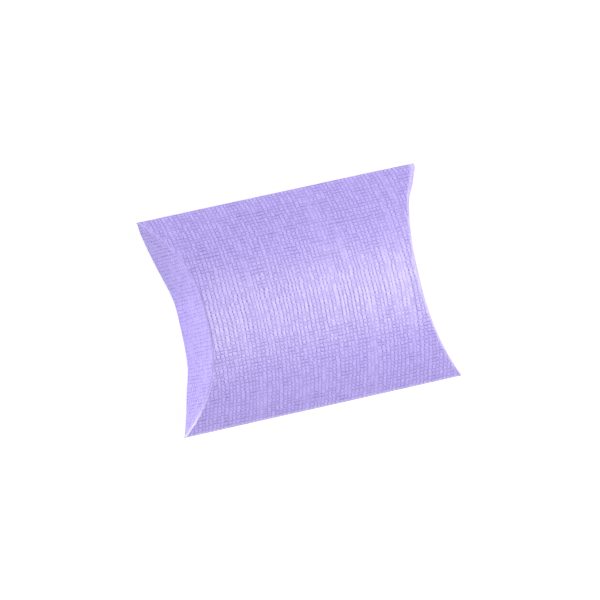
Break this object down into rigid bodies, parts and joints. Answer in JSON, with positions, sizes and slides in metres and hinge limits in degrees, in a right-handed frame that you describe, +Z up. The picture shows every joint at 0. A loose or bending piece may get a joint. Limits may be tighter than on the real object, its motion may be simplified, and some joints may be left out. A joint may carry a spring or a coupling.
{
  "type": "pillow box",
  "caption": "Small pillow-shaped card gift box with arched panels, a glued side seam and curved tuck flaps that open at both ends.",
  "frame": {"origin": "on the surface that the box lies on, under its middle", "axes": "+X along the box towards the right end, +Y across it towards the glued seam, +Z up through the crown of the top panel"},
  "size_m": [0.0996, 0.0704, 0.025],
  "materials": {
    "lilac_card": "satin, embossed with an irregular linen grain",
    "adhesive": "matte"
  },
  "bodies": {
    "sleeve": {"top_panel": "lilac_card", "bottom_panel": "lilac_card", "side_fold": "lilac_card", "seam_fold": "lilac_card", "glue_tab": "lilac_card", "glue_line": "adhesive"},
    "left_outer": {"left_outer_flap": "lilac_card"},
    "left_inner": {"left_inner_flap": "lilac_card"},
    "right_outer": {"right_outer_flap": "lilac_card"},
    "right_inner": {"right_inner_flap": "lilac_card"}
  },
  "joints": [
    {"name": "left_outer_crease", "type": "hinge", "parent": "sleeve", "child": "left_outer", "pos_m": [-0.0375, 0, 0], "axis": [0, -1, 0], "range_deg": [0, 90]},
    {"name": "right_outer_crease", "type": "hinge", "parent": "sleeve", "child": "right_outer", "pos_m": [0.0375, 0, 0], "axis": [0, 1, 0], "range_deg": [0, 90]},
    {"name": "left_inner_crease", "type": "hinge", "parent": "sleeve", "child": "left_inner", "pos_m": [-0.03658, 0, 0.0246], "axis": [0, -1, 0], "range_deg": [0, 75]},
    {"name": "right_inner_crease", "type": "hinge", "parent": "sleeve", "child": "right_inner", "pos_m": [0.03658, 0, 0.0246], "axis": [0, 1, 0], "range_deg": [0, 75]}
  ]
}
